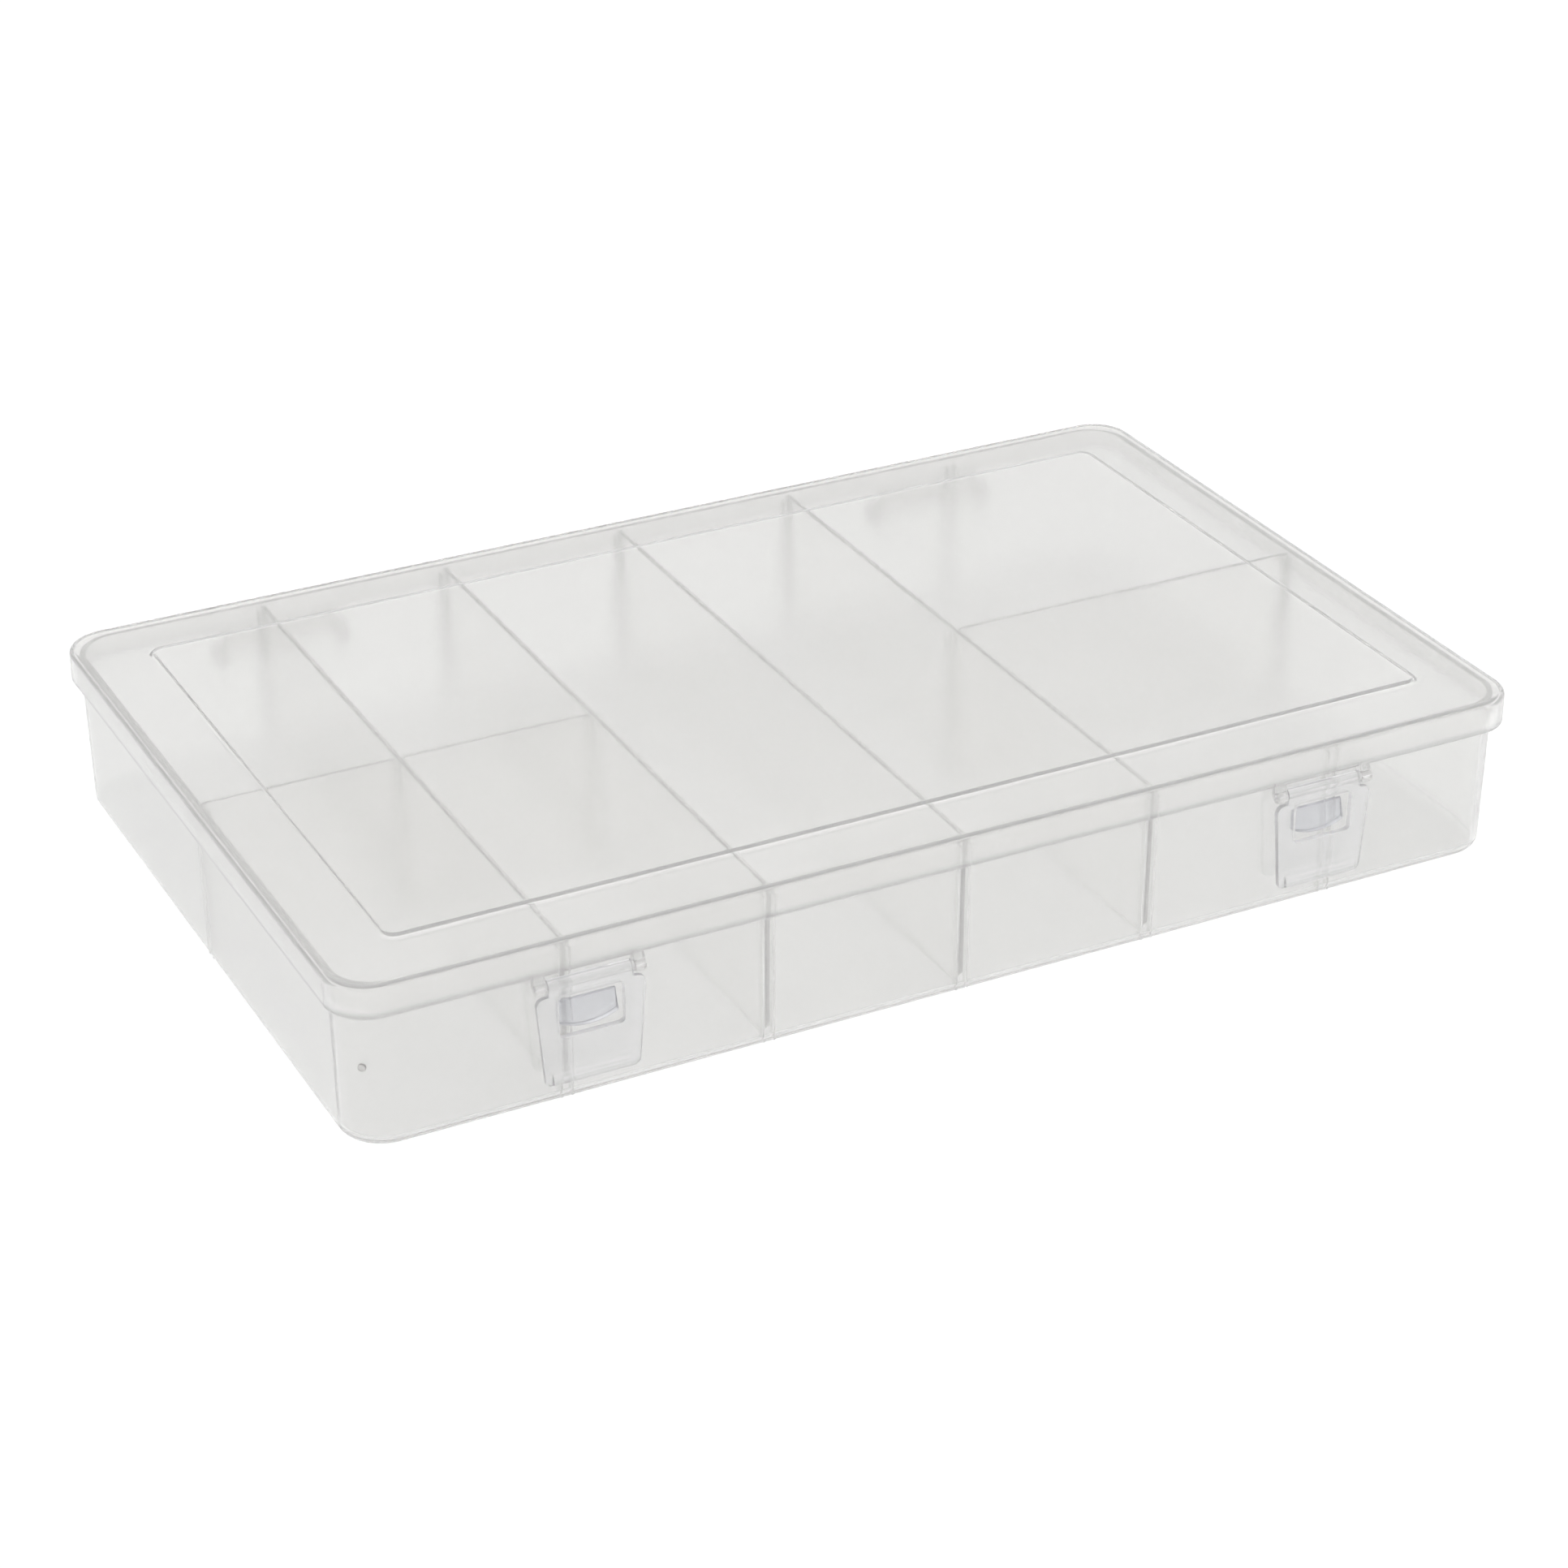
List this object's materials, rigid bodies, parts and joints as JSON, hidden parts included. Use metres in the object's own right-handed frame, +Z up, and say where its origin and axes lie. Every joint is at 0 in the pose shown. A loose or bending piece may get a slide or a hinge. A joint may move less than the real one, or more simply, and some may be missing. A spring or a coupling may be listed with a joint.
{
  "type": "fishing tackle box",
  "caption": "Flat clear plastic compartment box: a shallow tray with slide-in dividers, a full-width rear-hinged lid with a raised panel, and swinging front latches.",
  "frame": {"origin": "on the ground under the middle of the whole closed box, hinges and latches included", "axes": "+X to the right along the front, +Y from the front with the latches to the back with the hinges, +Z up"},
  "size_m": [0.29, 0.1902, 0.0416],
  "materials": {
    "tray_plastic": "clear, slightly milky moulded plastic",
    "lid_plastic": "clear, slightly milky moulded plastic",
    "latch_plastic": "clear moulded plastic with a faint cool tint",
    "divider_plastic": "clear, slightly milky moulded plastic"
  },
  "bodies": {
    "tray": {"tray": "tray_plastic", "divider_1": "divider_plastic", "divider_2": "divider_plastic", "divider_3": "divider_plastic", "divider_4": "divider_plastic", "cross_divider_1": "divider_plastic", "cross_divider_2": "divider_plastic", "cross_divider_3": "divider_plastic"},
    "lid": {"lid": "lid_plastic"},
    "latch_left": {"latch_left": "latch_plastic"},
    "latch_right": {"latch_right": "latch_plastic"}
  },
  "joints": [
    {"name": "lid_hinge", "type": "hinge", "parent": "tray", "child": "lid", "pos_m": [0, 0.0925, 0.027], "axis": [-1, 0, 0], "range_deg": [0, 180]},
    {"name": "latch_left_pivot", "type": "hinge", "parent": "lid", "child": "latch_left", "pos_m": [-0.0905, -0.093, 0.0312], "axis": [-1, 0, 0], "range_deg": [0, 110]},
    {"name": "latch_right_pivot", "type": "hinge", "parent": "lid", "child": "latch_right", "pos_m": [0.0905, -0.093, 0.0312], "axis": [-1, 0, 0], "range_deg": [0, 110]}
  ]
}
